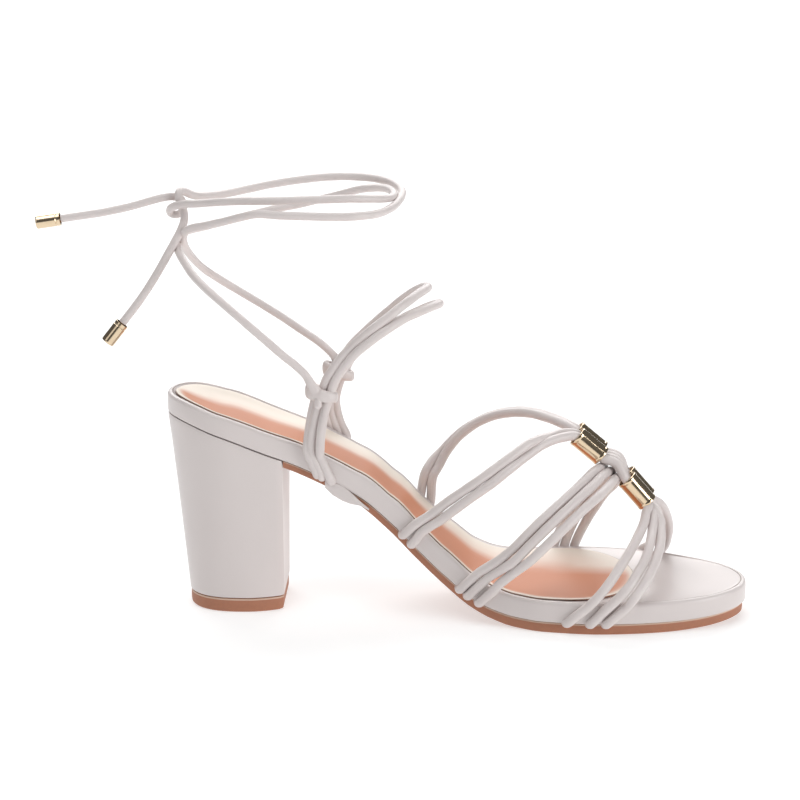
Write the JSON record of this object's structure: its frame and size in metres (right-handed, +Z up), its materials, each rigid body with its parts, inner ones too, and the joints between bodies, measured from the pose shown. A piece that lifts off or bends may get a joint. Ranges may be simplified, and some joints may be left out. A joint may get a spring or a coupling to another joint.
{
  "type": "block heel sandal",
  "caption": "Left strappy sandal on a block heel: cord straps through metal tubes over the forefoot, a cord strap over the instep and a cord tie around the ankle.",
  "frame": {"origin": "middle of the heel tip's underside, on the floor", "axes": "+X towards the toe, +Y towards the outer side of the foot, +Z up"},
  "size_m": [0.2808, 0.0883, 0.1681],
  "materials": {
    "patent": "glossy patent, pinkish off-white",
    "sock": "smooth tan lining leather",
    "rubber": "matt tan rubber",
    "gold": "polished, pale gold"
  },
  "bodies": {
    "root": {"outsole": "rubber", "footbed": "patent", "insole_sock": "sock", "heel_block": "patent", "heel_tip": "rubber", "forefoot_straps": "patent", "instep_strap": "patent", "tube_rear_inner": "gold", "tube_rear_outer": "gold", "tube_front_inner": "gold", "tube_front_outer": "gold", "ankle_tie_inner": "patent", "ankle_tie_outer": "patent", "tie_tip_inner": "gold", "tie_tip_outer": "gold"}
  },
  "joints": []
}
